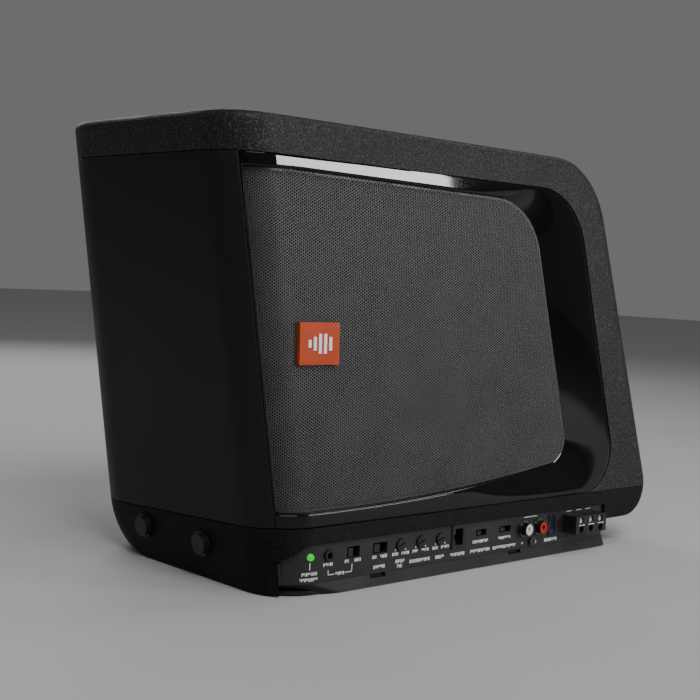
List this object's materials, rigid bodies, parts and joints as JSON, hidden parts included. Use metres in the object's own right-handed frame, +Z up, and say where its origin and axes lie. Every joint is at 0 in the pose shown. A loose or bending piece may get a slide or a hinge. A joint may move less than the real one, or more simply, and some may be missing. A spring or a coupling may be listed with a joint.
{
  "type": "powered car subwoofer",
  "caption": "Leaning wedge-shaped active subwoofer for a car, with a perforated front grille, gloss bezel and a low control panel with connectors in its base.",
  "frame": {"origin": "on the floor, below the middle of the overall box", "axes": "+Z up; the grille and the control panel face -Y; +X to the right as seen from the front"},
  "size_m": [0.3669, 0.1937, 0.25],
  "materials": {
    "textured_plastic": "moulded with a fine grain",
    "smooth_plastic": "smooth satin",
    "gloss_black": "high gloss",
    "grille_paint": "perforated steel, satin powder coat",
    "badge_orange": "gloss with a bright edge",
    "badge_white": "gloss",
    "panel_paint": "satin paint",
    "chassis_paint": "satin paint",
    "black_plastic": "moulded",
    "led_green": "clear green",
    "nickel": "plated",
    "white_plastic": "moulded",
    "red_plastic": "moulded",
    "fuse_blue": "clear blue",
    "rubber_black": "matte",
    "board_green": "solder mask",
    "component_blue": "sleeve",
    "copper": "enamelled wire",
    "bare_aluminium": "extruded",
    "fibreboard": "raw board",
    "steel": "zinc plated",
    "ferrite": "ground ferrite",
    "cone_fibre": "pressed fibre",
    "spider_cloth": "impregnated cloth",
    "felt": "loose fibre",
    "brass": "turned",
    "lead_red": "insulation"
  },
  "bodies": {
    "cabinet": {"base_housing": "textured_plastic", "amp_chassis": "chassis_paint", "rubber_feet": "rubber_black", "chamber_floor": "fibreboard", "wrap_shell": "textured_plastic", "side_panel": "smooth_plastic", "rear_cover": "smooth_plastic", "rear_screws": "steel", "front_bezel": "gloss_black", "front_baffle": "fibreboard", "grille": "grille_paint", "badge_plate": "badge_orange", "badge_mark": "badge_white", "control_panel": "panel_paint", "led_lens": "led_green", "audio_jack": "black_plastic", "switch_bodies": "black_plastic", "pot_bodies": "black_plastic", "remote_port": "black_plastic", "phono_block": "nickel", "phono_ring_left": "white_plastic", "phono_ring_right": "red_plastic", "ground_post": "nickel", "fuse_holder": "black_plastic", "terminal_block": "black_plastic", "circuit_board": "board_green", "capacitors": "component_blue", "toroid_coils": "copper", "heat_sink": "bare_aluminium", "power_transistors": "black_plastic", "woofer_basket": "chassis_paint", "woofer_gasket": "rubber_black", "woofer_surround": "rubber_black", "spider": "spider_cloth", "top_plate": "steel", "ring_magnet": "ferrite", "pole_yoke": "steel", "woofer_screws": "steel", "speaker_leads": "lead_red", "damping_pad": "felt", "threaded_inserts": "brass"},
    "cone_assembly": {"woofer_cone": "cone_fibre", "dust_cap": "cone_fibre", "voice_coil": "copper"},
    "bass_eq": {"bass_eq_knob": "black_plastic"},
    "crossover": {"crossover_knob": "black_plastic"},
    "gain": {"gain_knob": "black_plastic"},
    "link_lever": {"link_switch": "black_plastic"},
    "phase_lever": {"phase_switch": "black_plastic"},
    "level_lever": {"level_switch": "black_plastic"},
    "auto_on_lever": {"auto_on_switch": "black_plastic"},
    "fuse": {"mini_fuse": "fuse_blue"},
    "terminal_ground": {"terminal_screw_ground": "nickel"},
    "terminal_remote": {"terminal_screw_remote": "nickel"},
    "terminal_power": {"terminal_screw_power": "nickel"},
    "thumb_front": {"thumb_screw_front": "black_plastic"},
    "thumb_rear": {"thumb_screw_rear": "black_plastic"}
  },
  "joints": [
    {"name": "cone_travel", "type": "slide", "parent": "cabinet", "child": "cone_assembly", "axis": [0, -1, 0], "range_m": [-0.005, 0.005], "stiffness_N_per_m": 2500, "deforming": ["woofer_surround", "spider"]},
    {"name": "bass_eq_turn", "type": "hinge", "parent": "cabinet", "child": "bass_eq", "pos_m": [-0.0563, -0.0861, 0.0206], "axis": [0, -1, 0], "range_deg": [-140, 140]},
    {"name": "crossover_turn", "type": "hinge", "parent": "cabinet", "child": "crossover", "pos_m": [-0.0401, -0.0861, 0.0206], "axis": [0, -1, 0], "range_deg": [-140, 140]},
    {"name": "gain_turn", "type": "hinge", "parent": "cabinet", "child": "gain", "pos_m": [-0.0239, -0.0861, 0.0206], "axis": [0, -1, 0], "range_deg": [-140, 140]},
    {"name": "link_slide", "type": "slide", "parent": "cabinet", "child": "link_lever", "axis": [1, 0, 0], "range_m": [0, 0.0044]},
    {"name": "phase_slide", "type": "slide", "parent": "cabinet", "child": "phase_lever", "axis": [1, 0, 0], "range_m": [0, 0.0054]},
    {"name": "level_slide", "type": "slide", "parent": "cabinet", "child": "level_lever", "axis": [1, 0, 0], "range_m": [0, 0.0043]},
    {"name": "auto_on_slide", "type": "slide", "parent": "cabinet", "child": "auto_on_lever", "axis": [1, 0, 0], "range_m": [0, 0.0051]},
    {"name": "fuse_pull", "type": "slide", "parent": "cabinet", "child": "fuse", "axis": [0, -1, 0], "range_m": [0, 0.016]},
    {"name": "terminal_ground_turn", "type": "hinge", "parent": "cabinet", "child": "terminal_ground", "pos_m": [0.0959, -0.0861, 0.0214], "axis": [0, -1, 0], "continuous": true},
    {"name": "terminal_remote_turn", "type": "hinge", "parent": "cabinet", "child": "terminal_remote", "pos_m": [0.1058, -0.0861, 0.0214], "axis": [0, -1, 0], "continuous": true},
    {"name": "terminal_power_turn", "type": "hinge", "parent": "cabinet", "child": "terminal_power", "pos_m": [0.1157, -0.0861, 0.0214], "axis": [0, -1, 0], "continuous": true},
    {"name": "thumb_front_turn", "type": "hinge", "parent": "cabinet", "child": "thumb_front", "pos_m": [-0.14838, -0.0251, 0.02], "axis": [-0.9883, 0, -0.1522], "continuous": true},
    {"name": "thumb_rear_turn", "type": "hinge", "parent": "cabinet", "child": "thumb_rear", "pos_m": [-0.14838, 0.0309, 0.02], "axis": [-0.9883, 0, -0.1522], "continuous": true}
  ]
}
